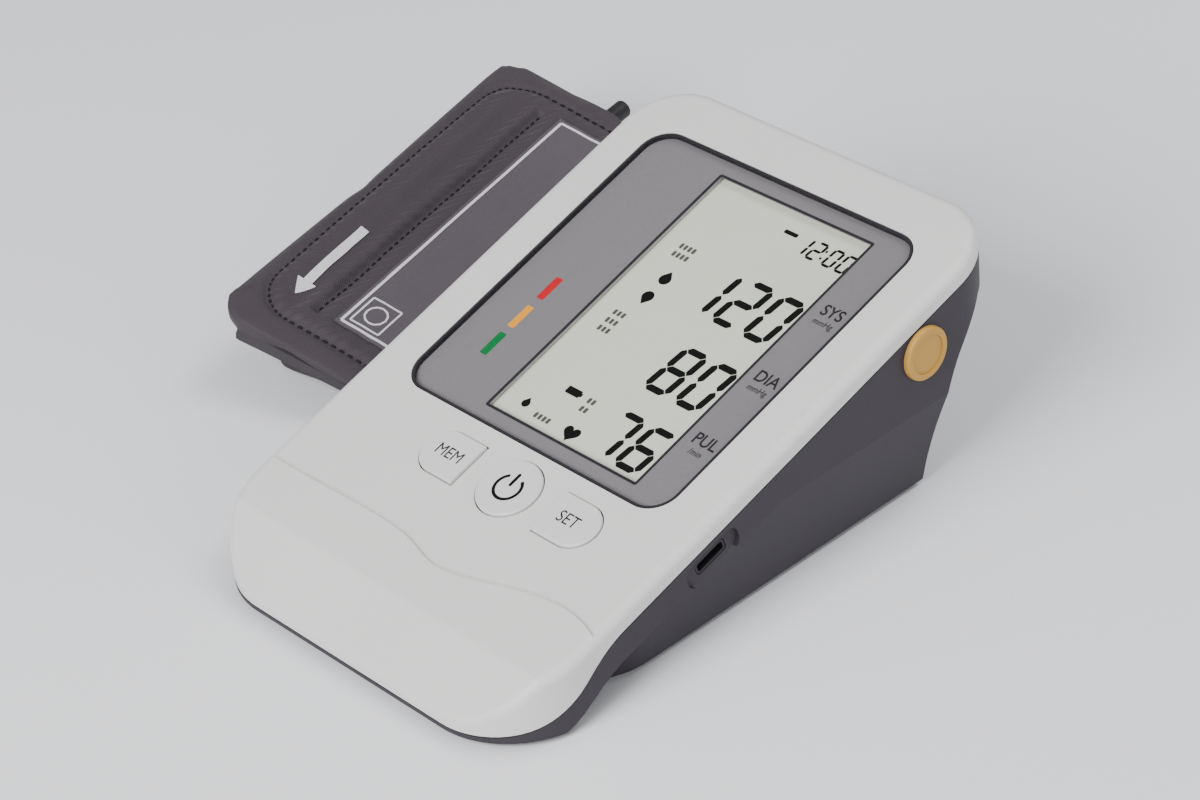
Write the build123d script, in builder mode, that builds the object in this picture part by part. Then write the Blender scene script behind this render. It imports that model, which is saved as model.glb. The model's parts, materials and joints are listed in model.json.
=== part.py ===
"""Upper arm blood pressure monitor: a wedge-shaped desk unit with a large display, and its folded arm cuff.

Frame: +X to the user's right, +Y away from the user, +Z up. The origin is on the table under the
middle of the desk unit. Millimetres.
"""
from build123d import *
import os
from math import cos, radians, sin, tan

# ---------------------------------------------------------------- driving dimensions: casing
BODY_WIDTH = 105.0
BODY_DEPTH = 153.0
FRONT_CORNER = 22.0
REAR_CORNER = 15.0
TILT = 17.0                 # slope of the display face, degrees
FACE_FOOT_Y = -5.85         # where the face's own origin lies
FACE_FOOT_Z = 34.1
WALL = 2.4
SKIRT = 4.8                 # height of the top casing's side skirt
RIM = 8.8                   # height of the bottom casing's upright rim
JOINT_GAP = 0.35            # shadow gap between the two casings
FOOT_GAP = 1.2              # underside of the bottom casing above the table
BASE_INSET = 5.0            # underside inside the outline, at each side
REAR_HOLLOW = 24.5          # underside inside the outline, at the rear
REAR_LIP = 2.3              # upright part of the rear wall under the joint line
FLARE = 12.2                # outward lean of the lower walls, degrees
CREASE_FROM_FRONT = 11.9    # the face turns down to the front edge this far behind it
NOSE_HEIGHT = 5.0           # height of the front edge above the table
EDGE_ROUND = 2.4            # rounding round the top casing's upper edge
WAVE_GROOVE_DEPTH = 0.45
GAP = 0.3                   # clearance round a loose part

# ---------------------------------------------------------------- driving dimensions: display
WINDOW_WIDTH = 82.6
WINDOW_LOW, WINDOW_HIGH = -16.6, 71.7
WINDOW_CORNER = 7.0
LENS_THICK = 1.2
MASK_THICK = 0.3
LCD_LEFT, LCD_RIGHT = -17.3, 29.1
LCD_LOW, LCD_HIGH = -11.2, 66.6
LCD_BORDER = 2.5            # glass beyond the visible area
LCD_THICK = 2.2
HOLDER_WALL = 1.5
HOLDER_HEIGHT = 4.6
BOARD_THICK = 1.6
BOARD_DEPTH = 9.2           # top of the board below the face
BOARD_LOW, BOARD_HIGH = -44.0, 34.0
BOARD_WIDTH = 72.0

# ---------------------------------------------------------------- driving dimensions: controls and ports
KEY_CENTRE_X = 6.2
KEY_ROW = -27.3
POWER_RADIUS = 7.7
SIDE_KEY_INNER, SIDE_KEY_OUTER = 12.9, 26.8     # from the row's centre
SIDE_KEY_HEIGHT = 11.8
KEY_PROUD = 0.7
KEY_TRAVEL = 0.8
KEY_FLANGE = 1.0
KEY_FLANGE_THICK = 1.0
MAT_THICK = 1.4
PLUG_RADIUS = 6.3
PLUG_HEAD = 1.4
PLUG_STEM_RADIUS, PLUG_STEM_LENGTH = 1.9, 8.0
PORT_Y, PORT_DROP = 48.75, 11.9             # drop below the face
PORT_RADIUS, PORT_BORE_RADIUS = 4.6, 2.1
PORT_LENGTH = 14.5          # air socket, from the outside of the casing inwards
SOCKET_Y = -17.0
SOCKET_DROP = 9.4           # below the face
SOCKET_WIDTH, SOCKET_HEIGHT, SOCKET_DEPTH = 8.8, 3.0, 7.0
RECESS_LENGTH, RECESS_HEIGHT, RECESS_DEPTH = 16.0, 6.2, 0.9

# ---------------------------------------------------------------- driving dimensions: inside
CELL_RADIUS, CELL_LENGTH, CELL_COUNT, CELL_PITCH = 7.1, 49.0, 4, 14.8
BAY_FRONT = -8.4
SPRING_LENGTH = 3.6
BAY_WALL = 1.4
DOOR_THICK = 2.2
PUMP_Y, PUMP_DROP, PUMP_RADIUS = 45.5, 14.4, 8.4        # drop below the top casing's wall
BOSS_INSET, BOSS_FRONT_Y, BOSS_REAR_Y = 11.5, -24.0, 31.0
BOSS_RADIUS = 3.4
SCREW_RADIUS, SCREW_HEAD_RADIUS, SCREW_HEAD_HEIGHT = 1.2, 2.4, 1.8
HEAD_LIFT = 4.8             # underside of the screw heads above the casing's underside
FOOT_RADIUS, FOOT_INSET, FOOT_FRONT_Y, FOOT_REAR_Y = 4.6, 13.0, -36.0, 43.5

# ---------------------------------------------------------------- driving dimensions: cuff
CUFF_LENGTH = 122.0
CUFF_PANEL = 54.0
CUFF_BESIDE, CUFF_CORNER_Y = 5.0, -13.0         # near right corner, from the desk unit's left side
CUFF_TURN = 12.0                                # turned about +Z, degrees
CUFF_LOW = 8.0                                  # top surface above the table at that corner
CUFF_RISE_LEFT, CUFF_RISE_BACK = 0.27, 0.06   # slope of the top surface
CUFF_ROUND = 9.0
CUFF_GAP = 0.4
CUFF_SET_BACK = 7.0                             # lower folds end this far inside the top one
PATCH_THICK, PATCH_WIDTH, PATCH_LEFT = 0.5, 19.0, 17.5
BLADDER_WIDTH, BLADDER_LENGTH, BLADDER_THICK = 28.0, 80.0, 1.8
NIPPLE_LENGTH = 11.0

# ---------------------------------------------------------------- worked-out values
HALF_W, HALF_D = BODY_WIDTH / 2, BODY_DEPTH / 2
BASE_HALF_WIDTH = HALF_W - BASE_INSET
BASE_REAR = HALF_D - REAR_HOLLOW
PORT_INNER_END = HALF_W - PORT_LENGTH
BOSS_X, FOOT_X = HALF_W - BOSS_INSET, HALF_W - FOOT_INSET
SLOPE = tan(radians(TILT))
COS, SIN = cos(radians(TILT)), sin(radians(TILT))
CREASE_Y = -HALF_D + CREASE_FROM_FRONT
BEYOND = 5.0                # how far cutting shapes run past the body
FACE = Plane(origin=(0, FACE_FOOT_Y, FACE_FOOT_Z), x_dir=(1, 0, 0), z_dir=(0, -SIN, COS))
CELL_FLOOR = FOOT_GAP + WALL + GAP
BAY_HALF_WIDTH = CELL_COUNT * CELL_PITCH / 2 + 0.4
BAY_LENGTH = CELL_LENGTH + SPRING_LENGTH + 1.0
BAY_CEILING = CELL_FLOOR + 2 * CELL_RADIUS + 0.5
MAT_DEPTH = WALL + GAP + KEY_FLANGE_THICK + KEY_TRAVEL + 0.2
BOSSES = [(x, y) for x in (-BOSS_X, BOSS_X) for y in (BOSS_FRONT_Y, BOSS_REAR_Y)]
FEET = [(x, y) for x in (-FOOT_X, FOOT_X) for y in (FOOT_FRONT_Y, FOOT_REAR_Y)]

os.makedirs("parts", exist_ok=True)


def face_z(y):
    """Height of the display face over y."""
    return FACE_FOOT_Z + SLOPE * (y - FACE_FOOT_Y)


def save(builder, name):
    """Label a finished piece and write its STEP file."""
    builder.part.label = name
    export_step(builder.part, f"parts/{name}.step")


def body_plan(inset):
    """Rounded outline of the desk unit seen from above."""
    with BuildSketch(Plane.XY) as outline:
        Rectangle(BODY_WIDTH - 2 * inset, BODY_DEPTH - 2 * inset)
        fillet(outline.vertices().sort_by(Axis.Y)[:2], FRONT_CORNER - inset)
        fillet(outline.vertices().sort_by(Axis.Y)[-2:], REAR_CORNER - inset)
    return outline.sketch


def joint_line(shift):
    """Side view of the line between the casings, front to rear, moved up by shift."""
    knee_y = -HALF_D + 34.0
    return [(-HALF_D - 1, 2.4 + shift), (-HALF_D + 11.0, 4.6 + shift), (-HALF_D + 21.0, 10.1 + shift),
            (knee_y, face_z(knee_y) - SKIRT + shift)]


def upper_side(inset):
    """Side view of the top casing, or of the room under it when inset is more than 0."""
    drop = inset / COS
    back = HALF_D + BEYOND
    nose = (-HALF_D - 1 + inset, NOSE_HEIGHT - 1 - drop)
    line = joint_line(0)
    with BuildSketch(Plane.YZ) as side:
        with BuildLine():
            Polyline((back, face_z(back) - drop), (CREASE_Y, face_z(CREASE_Y) - drop), nose)
            if inset:
                Polyline(nose, (nose[0], -BEYOND), (back, -BEYOND), (back, face_z(back) - drop))
            else:
                Line(nose, line[0])
                Spline(*line, tangents=[(1, 0.1), (1, SLOPE)])
                Polyline(line[-1], (back, face_z(back) - SKIRT), (back, face_z(back)))
        make_face()
    return side.sketch


def lower_side(inset):
    """Side view of the bottom casing, or of the room in it when inset is more than 0."""
    shift = 3 * BEYOND if inset else -JOINT_GAP
    line = joint_line(shift)
    floor = FOOT_GAP + inset
    rear_top = face_z(HALF_D + 1) - SKIRT - REAR_LIP
    with BuildSketch(Plane.YZ) as side:
        with BuildLine():
            Spline(*line, tangents=[(1, 0.1), (1, SLOPE)])
            Polyline(line[-1], (HALF_D + 1 - inset, face_z(HALF_D + 1) - SKIRT + shift),
                     (HALF_D + 1 - inset, rear_top))
            Spline((HALF_D + 1 - inset, rear_top), (HALF_D - 9.3 - inset, 0.8 * rear_top),
                   (HALF_D - 18.9 - inset, 0.533 * rear_top), (BASE_REAR + 1.2 - inset, 0.267 * rear_top),
                   (BASE_REAR - inset, floor), tangents=[(-0.7, -0.72), (-0.03, -1)])
            Polyline((BASE_REAR - inset, floor), (-HALF_D - 1 + inset, floor), line[0])
        make_face()
    return side.sketch


def rim_side(inset):
    """Side view of the upright rim, whose lower edge drops to the table at the front."""
    shift = 3 * BEYOND if inset else -JOINT_GAP
    line = joint_line(shift)
    floor = FOOT_GAP + inset
    knee = (-HALF_D + 33.0, 10.6 + inset)
    toe = (-HALF_D + 16.0, floor)
    back = (HALF_D + 1, face_z(HALF_D + 1) - SKIRT - RIM + inset)
    with BuildSketch(Plane.YZ) as side:
        with BuildLine():
            Spline(*line, tangents=[(1, 0.1), (1, SLOPE)])
            Polyline(line[-1], (HALF_D + 1, face_z(HALF_D + 1) - SKIRT + shift), back, knee)
            Spline(knee, toe, tangents=[(-1, -SLOPE), (-1, -0.5)])
            Polyline(toe, (-HALF_D - 1, floor), line[0])
        make_face()
    return side.sketch


def lower_body(inset):
    """Solid of the bottom casing's outside, or of the room in it when inset is more than 0."""
    with BuildPart() as rim:
        extrude(body_plan(inset), amount=80)
        extrude(rim_side(inset), amount=BODY_WIDTH, both=True, mode=Mode.INTERSECT)
    with BuildPart() as wedge:
        with BuildSketch(Plane.XY.offset(FOOT_GAP + inset)) as base:
            with Locations((0, 25)):
                Rectangle(2 * (BASE_HALF_WIDTH - inset), BODY_DEPTH - 2 * inset)
            fillet(base.vertices().sort_by(Axis.Y)[:2], FRONT_CORNER - 4 - inset)
        extrude(amount=70, taper=-FLARE)
        extrude(body_plan(inset), amount=80, mode=Mode.INTERSECT)
        extrude(lower_side(inset), amount=BODY_WIDTH, both=True, mode=Mode.INTERSECT)
    with BuildPart() as body:
        add(rim.part)
        add(wedge.part)
        extrude(body_plan(inset), amount=80, mode=Mode.INTERSECT)
        extrude(lower_side(inset), amount=BODY_WIDTH, both=True, mode=Mode.INTERSECT)
    return body.part


def face_rectangle(depth, left, right, low, high, corner=0.0):
    """Rectangle on a plane parallel to the display face and depth below it."""
    with BuildSketch(FACE.offset(-depth)) as shape:
        with Locations(((left + right) / 2, (low + high) / 2)):
            if corner:
                RectangleRounded(right - left, high - low, corner)
            else:
                Rectangle(right - left, high - low)
    return shape.sketch


def lens_outline(depth, grow):
    """Outline of the display lens, grown by a clearance."""
    half = WINDOW_WIDTH / 2 + grow
    return face_rectangle(depth, -half, half, WINDOW_LOW - grow, WINDOW_HIGH + grow, WINDOW_CORNER + grow)


def lcd_outline(depth, grow):
    """Outline of the display's visible area, grown by a margin."""
    return face_rectangle(depth, LCD_LEFT - grow, LCD_RIGHT + grow, LCD_LOW - grow, LCD_HIGH + grow)


def key_outline(depth, grow, side):
    """Outline of a key: side 0 is the round power key, -1 and +1 are the outer keys."""
    inner = KEY_CENTRE_X + side * (SIDE_KEY_INNER - grow)
    bend = KEY_CENTRE_X + side * (SIDE_KEY_OUTER - SIDE_KEY_HEIGHT / 2)
    outer = KEY_CENTRE_X + side * (SIDE_KEY_OUTER + grow)
    low, high = KEY_ROW - SIDE_KEY_HEIGHT / 2 - grow, KEY_ROW + SIDE_KEY_HEIGHT / 2 + grow
    with BuildSketch(FACE.offset(-depth)) as shape:
        if side:
            with BuildLine():
                Polyline((bend, low), (inner, low), (inner, high), (bend, high))
                ThreePointArc((bend, high), (outer, KEY_ROW), (bend, low))
            make_face()
        else:
            with Locations((KEY_CENTRE_X, KEY_ROW)):
                Circle(POWER_RADIUS + grow)
    return shape.sketch


def boss_top(y):
    """Height where the bottom casing's boss ends under the top casing's boss."""
    return face_z(y) - SKIRT - 5.0


PORT_Z = face_z(PORT_Y) - PORT_DROP
PUMP_PLANE = Plane(origin=(0, PUMP_Y, face_z(PUMP_Y) - WALL - PUMP_DROP), x_dir=(0, 1, 0), z_dir=(1, 0, 0))

# ---------------------------------------------------------------- top casing
with BuildPart() as under_top:
    extrude(body_plan(WALL), amount=90)
    extrude(upper_side(WALL), amount=BODY_WIDTH, both=True, mode=Mode.INTERSECT)
    for x, y in BOSSES:
        with BuildSketch(Plane.XY.offset(boss_top(y) + 0.2)):
            with Locations((x, y)):
                Circle(BOSS_RADIUS)
        extrude(amount=60, mode=Mode.SUBTRACT)

with BuildPart() as top_casing:
    extrude(body_plan(0), amount=90)
    extrude(upper_side(0), amount=BODY_WIDTH, both=True, mode=Mode.INTERSECT)
    upper_edges = top_casing.faces().filter_by(lambda f: f.normal_at().Z > 0.5).edges()
    fillet(upper_edges.filter_by(lambda e: e.center().Z > NOSE_HEIGHT + 1), EDGE_ROUND)
    add(under_top.part, mode=Mode.SUBTRACT)
    extrude(lens_outline(0, 0.15), amount=-(LENS_THICK + MASK_THICK + 0.1), mode=Mode.SUBTRACT)
    extrude(lcd_outline(0, 0.5), amount=-(WALL + 1), mode=Mode.SUBTRACT)
    for side in (-1, 0, 1):
        extrude(key_outline(-1, GAP, side), amount=-(WALL + 2), mode=Mode.SUBTRACT)
    with BuildSketch(FACE.offset(1)):
        with BuildLine():
            Spline((-HALF_W - 1, -47.8), (-14, -47.6), (-3, -48.7), (6, -50.8), (14, -50.0), (23, -47.7),
                   (HALF_W + 1, -47.6))
        trace(line_width=0.7)
    extrude(amount=-(1 + WAVE_GROOVE_DEPTH), mode=Mode.SUBTRACT)
    for x, y in BOSSES:
        with BuildSketch(Plane.XY.offset(boss_top(y))):
            with Locations((x, y)):
                Circle(SCREW_RADIUS + 0.05)
        extrude(amount=7.5, mode=Mode.SUBTRACT)
save(top_casing, "top_casing")

# ---------------------------------------------------------------- bottom casing
SOCKET_PLANE = Plane(origin=(HALF_W, SOCKET_Y, face_z(SOCKET_Y) - SOCKET_DROP),
                     x_dir=(0, COS, SIN), z_dir=(1, 0, 0))
PORT_PLANE = Plane(origin=(HALF_W, PORT_Y, PORT_Z), x_dir=(0, 1, 0), z_dir=(1, 0, 0))
DOOR_WIDTH = 2 * BAY_HALF_WIDTH - 2.0
DOOR_FRONT = BAY_FRONT + 1.0
DOOR_REAR = BAY_FRONT + BAY_LENGTH - 1.0

with BuildPart() as bottom_casing:
    add(lower_body(0))
    add(lower_body(WALL), mode=Mode.SUBTRACT)
    for x, y in BOSSES:
        with BuildSketch(Plane.XY.offset(FOOT_GAP)):
            with Locations((x, y)):
                Circle(BOSS_RADIUS)
        extrude(amount=boss_top(y) - FOOT_GAP)
        with BuildSketch(Plane.XY.offset(FOOT_GAP - 1)):
            with Locations((x, y)):
                Circle(SCREW_RADIUS + 0.3)
        extrude(amount=80, mode=Mode.SUBTRACT)
        with BuildSketch(Plane.XY.offset(FOOT_GAP - 1)):
            with Locations((x, y)):
                Circle(SCREW_HEAD_RADIUS + 0.3)
        extrude(amount=HEAD_LIFT + 1, mode=Mode.SUBTRACT)
    with BuildSketch(Plane.XY):
        with Locations((0, (DOOR_FRONT + DOOR_REAR) / 2)):
            Rectangle(DOOR_WIDTH, DOOR_REAR - DOOR_FRONT)
    extrude(amount=FOOT_GAP + WALL + 1, mode=Mode.SUBTRACT)
    with BuildSketch(SOCKET_PLANE):
        RectangleRounded(RECESS_LENGTH, RECESS_HEIGHT, RECESS_HEIGHT / 2 - 0.4)
    extrude(amount=-RECESS_DEPTH, mode=Mode.SUBTRACT)
    with BuildSketch(SOCKET_PLANE):
        RectangleRounded(SOCKET_WIDTH + 0.4, SOCKET_HEIGHT + 0.4, 1.0)
    extrude(amount=-3 * WALL, mode=Mode.SUBTRACT)
    with BuildSketch(PORT_PLANE):
        Circle(PORT_RADIUS + 0.1)
    extrude(amount=-2 * WALL, mode=Mode.SUBTRACT)
save(bottom_casing, "bottom_casing")

# ---------------------------------------------------------------- display stack, from the face down
with BuildPart() as display_lens:
    extrude(lens_outline(0.05, 0), amount=-LENS_THICK)
    chamfer(display_lens.faces().sort_by(Axis.Z)[-1].edges(), 0.12)
save(display_lens, "display_lens")

MASK_DEPTH = 0.05 + LENS_THICK
with BuildPart() as display_mask:
    extrude(lens_outline(MASK_DEPTH, -0.1), amount=-MASK_THICK)
    extrude(lcd_outline(MASK_DEPTH, 0), amount=-1, mode=Mode.SUBTRACT)
save(display_mask, "display_mask")

LCD_DEPTH = WALL + 0.15
with BuildPart() as lcd_glass:
    extrude(lcd_outline(LCD_DEPTH, LCD_BORDER), amount=-LCD_THICK)
save(lcd_glass, "lcd_glass")

with BuildPart() as lcd_reflector:
    extrude(lcd_outline(LCD_DEPTH + LCD_THICK + 0.05, LCD_BORDER), amount=-1.2)
save(lcd_reflector, "lcd_reflector")

with BuildPart() as lcd_holder:
    extrude(lcd_outline(LCD_DEPTH, LCD_BORDER + HOLDER_WALL + 0.1), amount=-HOLDER_HEIGHT)
    extrude(lcd_outline(LCD_DEPTH, LCD_BORDER + 0.1), amount=-(HOLDER_HEIGHT - 1), mode=Mode.SUBTRACT)
    extrude(lcd_outline(LCD_DEPTH, LCD_BORDER - 4), amount=-3 * HOLDER_HEIGHT, mode=Mode.SUBTRACT)
save(lcd_holder, "lcd_holder")

# ---------------------------------------------------------------- keys and their mat
for side, name in ((-1, "memory_key"), (0, "power_key"), (1, "set_key")):
    with BuildPart() as key:
        extrude(key_outline(-KEY_PROUD, 0, side), amount=-(KEY_PROUD + WALL + GAP + 0.1))
        chamfer(key.faces().sort_by(Axis.Z)[-1].edges(), 0.35)
        extrude(key_outline(WALL + GAP, KEY_FLANGE, side), amount=-KEY_FLANGE_THICK)
    save(key, name)

with BuildPart() as key_mat:
    extrude(face_rectangle(MAT_DEPTH, KEY_CENTRE_X - 30, KEY_CENTRE_X + 29.5, KEY_ROW - 9, KEY_ROW + 9, 2),
            amount=-MAT_THICK)
save(key_mat, "key_mat")

# ---------------------------------------------------------------- electronics
with BuildPart() as main_board:
    extrude(face_rectangle(BOARD_DEPTH, -BOARD_WIDTH / 2, BOARD_WIDTH / 2, BOARD_LOW, BOARD_HIGH, 1.5),
            amount=-BOARD_THICK)
save(main_board, "main_board")

BOARD_BACK = BOARD_DEPTH + BOARD_THICK
with BuildPart() as board_chips:
    for x, low, size in ((-8, -30, 9), (8, -30, 6), (-12, -14, 5)):
        extrude(face_rectangle(BOARD_BACK, x, x + size, low, low + size), amount=-1.1)
save(board_chips, "board_chips")

with BuildPart() as pressure_sensor:
    extrude(face_rectangle(BOARD_BACK, -31, -22, -32, -23), amount=-3.0)
    with BuildSketch(FACE.offset(-BOARD_BACK - 3.0)):
        with Locations((-26.5, -27.5)):
            Circle(1.3)
    extrude(amount=-1.5)
save(pressure_sensor, "pressure_sensor")

with BuildPart() as buzzer:
    with BuildSketch(FACE.offset(-BOARD_BACK)):
        with Locations((24, -27)):
            Circle(6.0)
    extrude(amount=-2.6)
save(buzzer, "buzzer")

# ---------------------------------------------------------------- air system
with BuildPart() as pump_motor:
    with BuildSketch(PUMP_PLANE.offset(-30)):
        Circle(PUMP_RADIUS)
    extrude(amount=26)
    chamfer(pump_motor.edges().filter_by(GeomType.CIRCLE), 0.8)
save(pump_motor, "pump_motor")

with BuildPart() as pump_head:
    with BuildSketch(PUMP_PLANE.offset(-4)):
        RectangleRounded(2 * PUMP_RADIUS - 0.4, 2 * PUMP_RADIUS - 0.4, 2.5)
    extrude(amount=17)
    with BuildSketch(PUMP_PLANE.offset(13)):
        Circle(2.0)
    extrude(amount=4)
save(pump_head, "pump_head")

with BuildPart() as release_valve:
    with BuildSketch(PUMP_PLANE.offset(17)):
        Circle(5.2)
    extrude(amount=12)
save(release_valve, "release_valve")

with BuildPart() as air_manifold:
    with BuildSketch(PUMP_PLANE.offset(29)):
        with Locations((1.5, 1)):
            RectangleRounded(13, 11, 1.5)
    extrude(amount=PORT_INNER_END - 29)
save(air_manifold, "air_manifold")

with BuildPart() as air_socket:
    with BuildSketch(Plane(origin=(PORT_INNER_END, PORT_Y, PORT_Z), x_dir=(0, 1, 0), z_dir=(1, 0, 0))):
        Circle(PORT_RADIUS)
    extrude(amount=HALF_W - 0.3 - PORT_INNER_END)
    with BuildSketch(PORT_PLANE):
        Circle(PORT_BORE_RADIUS)
    extrude(amount=-(PLUG_STEM_LENGTH + 2), mode=Mode.SUBTRACT)
save(air_socket, "air_socket")

with BuildPart() as air_plug:
    with BuildSketch(PORT_PLANE.offset(0.1)):
        Circle(PLUG_RADIUS)
    extrude(amount=PLUG_HEAD)
    fillet(air_plug.edges().sort_by(Axis.X)[-1], 0.6)
    with BuildSketch(PORT_PLANE.offset(PLUG_HEAD + 0.1)):
        Circle(PLUG_RADIUS - 1.6)
    extrude(amount=-0.35, mode=Mode.SUBTRACT)
    with BuildSketch(PORT_PLANE.offset(0.1)):
        Circle(PLUG_STEM_RADIUS)
    extrude(amount=-PLUG_STEM_LENGTH)
save(air_plug, "air_plug")

with BuildPart() as power_socket:
    with BuildSketch(SOCKET_PLANE.offset(-RECESS_DEPTH - 0.1)):
        RectangleRounded(SOCKET_WIDTH, SOCKET_HEIGHT, 0.9)
    extrude(amount=-SOCKET_DEPTH)
    with BuildSketch(SOCKET_PLANE.offset(-RECESS_DEPTH - 0.1)):
        RectangleRounded(SOCKET_WIDTH - 0.9, SOCKET_HEIGHT - 0.9, 0.6)
    extrude(amount=-(SOCKET_DEPTH - 1), mode=Mode.SUBTRACT)
    with BuildSketch(SOCKET_PLANE.offset(-RECESS_DEPTH - SOCKET_DEPTH)):
        Rectangle(SOCKET_WIDTH - 3.6, 0.6)
    extrude(amount=SOCKET_DEPTH - 1.2)
save(power_socket, "power_socket")

# ---------------------------------------------------------------- batteries
BAY_MIDDLE = BAY_FRONT + BAY_LENGTH / 2
with BuildPart() as battery_bay:
    with BuildSketch(Plane.XY.offset(FOOT_GAP + WALL + 0.05)):
        with Locations((0, BAY_MIDDLE)):
            Rectangle(2 * (BAY_HALF_WIDTH + BAY_WALL), BAY_LENGTH + 2 * BAY_WALL)
    extrude(amount=BAY_CEILING + BAY_WALL - FOOT_GAP - WALL)
    with BuildSketch(Plane.XY.offset(FOOT_GAP)):
        with Locations((0, BAY_MIDDLE)):
            Rectangle(2 * BAY_HALF_WIDTH, BAY_LENGTH)
    extrude(amount=BAY_CEILING - FOOT_GAP, mode=Mode.SUBTRACT)
save(battery_bay, "battery_bay")

CELL_XS = [(i - (CELL_COUNT - 1) / 2) * CELL_PITCH for i in range(CELL_COUNT)]
CELL_AXIS_Z = CELL_FLOOR + CELL_RADIUS


def across_cells(y):
    """Plane through y facing +Y, with local x along +X and local y along +Z."""
    return Plane(origin=(0, y, CELL_AXIS_Z), x_dir=(-1, 0, 0), z_dir=(0, 1, 0))


with BuildPart() as battery_cells:
    for x in CELL_XS:
        with BuildSketch(across_cells(BAY_FRONT + SPRING_LENGTH + 0.3)):
            with Locations((-x, 0)):
                Circle(CELL_RADIUS)
        extrude(amount=CELL_LENGTH - 1.2)
        with BuildSketch(across_cells(BAY_FRONT + SPRING_LENGTH + CELL_LENGTH - 0.9)):
            with Locations((-x, 0)):
                Circle(2.7)
        extrude(amount=1.2)
save(battery_cells, "battery_cells")

with BuildPart() as battery_springs:
    for x in CELL_XS:
        with BuildSketch(across_cells(BAY_FRONT + 0.05)):
            with Locations((-x, 0)):
                Circle(4.2)
        with BuildSketch(across_cells(BAY_FRONT + SPRING_LENGTH)):
            with Locations((-x, 0)):
                Circle(2.6)
        loft()
save(battery_springs, "battery_springs")

with BuildPart() as battery_plates:
    for x in CELL_XS:
        with BuildSketch(across_cells(BAY_FRONT + BAY_LENGTH - 0.45)):
            with Locations((-x, 0)):
                Rectangle(10, 9)
        extrude(amount=0.4)
save(battery_plates, "battery_plates")

with BuildPart() as battery_door:
    with BuildSketch(Plane.YZ) as door_side:
        with Locations(((DOOR_FRONT + DOOR_REAR) / 2, FOOT_GAP + DOOR_THICK / 2)):
            Rectangle(DOOR_REAR - DOOR_FRONT - 2 * GAP, DOOR_THICK)
        fillet(door_side.vertices().sort_by(Axis.X)[-2:], DOOR_THICK / 2 - 0.02)
    extrude(amount=DOOR_WIDTH / 2 - GAP, both=True)
    with BuildSketch(Plane.XY.offset(FOOT_GAP)):
        with Locations((0, DOOR_FRONT + 7)):
            with GridLocations(0, 2.4, 1, 4):
                RectangleRounded(16, 1.0, 0.4)
    extrude(amount=0.5, mode=Mode.SUBTRACT)
save(battery_door, "battery_door")

# ---------------------------------------------------------------- feet and screws
with BuildPart() as rubber_feet:
    with BuildSketch(Plane.XY):
        with Locations(*FEET):
            Circle(FOOT_RADIUS)
    extrude(amount=FOOT_GAP)
save(rubber_feet, "rubber_feet")

with BuildPart() as casing_screws:
    for x, y in BOSSES:
        with BuildSketch(Plane.XY.offset(FOOT_GAP + HEAD_LIFT - SCREW_HEAD_HEIGHT)):
            with Locations((x, y)):
                Circle(SCREW_HEAD_RADIUS)
        extrude(amount=SCREW_HEAD_HEIGHT - 0.05)
        with BuildSketch(Plane.XY.offset(FOOT_GAP + HEAD_LIFT - 0.1)):
            with Locations((x, y)):
                Circle(SCREW_RADIUS)
        extrude(amount=boss_top(y) + 6.5 - FOOT_GAP - HEAD_LIFT)
        with BuildSketch(Plane.XY.offset(FOOT_GAP + HEAD_LIFT - SCREW_HEAD_HEIGHT)):
            with Locations((x, y)):
                Rectangle(2.8, 0.6)
                Rectangle(0.6, 2.8)
        extrude(amount=0.9, mode=Mode.SUBTRACT)
save(casing_screws, "casing_screws")

# ---------------------------------------------------------------- folded cuff
TURN = radians(CUFF_TURN)
LEFT = Vector(-cos(TURN), -sin(TURN), 0)
BACK = Vector(-sin(TURN), cos(TURN), 0)
CORNER = Vector(-HALF_W - CUFF_BESIDE, CUFF_CORNER_Y, 0)


def cuff_point(left, back, share):
    """Point of the fold surface at a share of the cuff's height, from the near right corner."""
    height = share * (CUFF_LOW + CUFF_RISE_LEFT * left + CUFF_RISE_BACK * back)
    return CORNER + LEFT * left + BACK * back + Vector(0, 0, height)


def cuff_plane(share, left=CUFF_PANEL / 2, back=CUFF_LENGTH / 2):
    """Plane of a fold surface: local x runs to the right, local y away from the user."""
    right = LEFT * -1 - Vector(0, 0, 1) * share * CUFF_RISE_LEFT
    normal = Vector(0, 0, 1) - LEFT * share * CUFF_RISE_LEFT - BACK * share * CUFF_RISE_BACK
    return Plane(origin=cuff_point(left, back, share), x_dir=right, z_dir=normal)


def cuff_block(set_back):
    """A fold's outline as a tall block, drawn in by set_back on its left and at its near end."""
    middle = cuff_point((CUFF_PANEL - set_back) / 2, (CUFF_LENGTH + set_back) / 2, 0)
    with BuildPart() as block:
        with BuildSketch(Plane(origin=middle, x_dir=LEFT * -1)):
            RectangleRounded(CUFF_PANEL - set_back, CUFF_LENGTH - set_back, CUFF_ROUND)
        extrude(amount=80)
    return block.part


with BuildPart() as cuff_lower_layer:
    add(cuff_block(CUFF_SET_BACK))
    split(bisect_by=cuff_plane(1 / 3).offset(-CUFF_GAP), keep=Keep.BOTTOM)
save(cuff_lower_layer, "cuff_lower_layer")

with BuildPart() as cuff_middle_layer:
    add(cuff_block(CUFF_SET_BACK / 2))
    split(bisect_by=cuff_plane(1 / 3), keep=Keep.TOP)
    split(bisect_by=cuff_plane(2 / 3).offset(-CUFF_GAP), keep=Keep.BOTTOM)
    with BuildSketch(cuff_plane(1 / 2).offset(-BLADDER_THICK / 2 - CUFF_GAP)):
        RectangleRounded(BLADDER_WIDTH + 2 * CUFF_GAP, BLADDER_LENGTH + 2 * CUFF_GAP, 4)
    extrude(amount=BLADDER_THICK + 2 * CUFF_GAP, mode=Mode.SUBTRACT)
save(cuff_middle_layer, "cuff_middle_layer")

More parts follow.
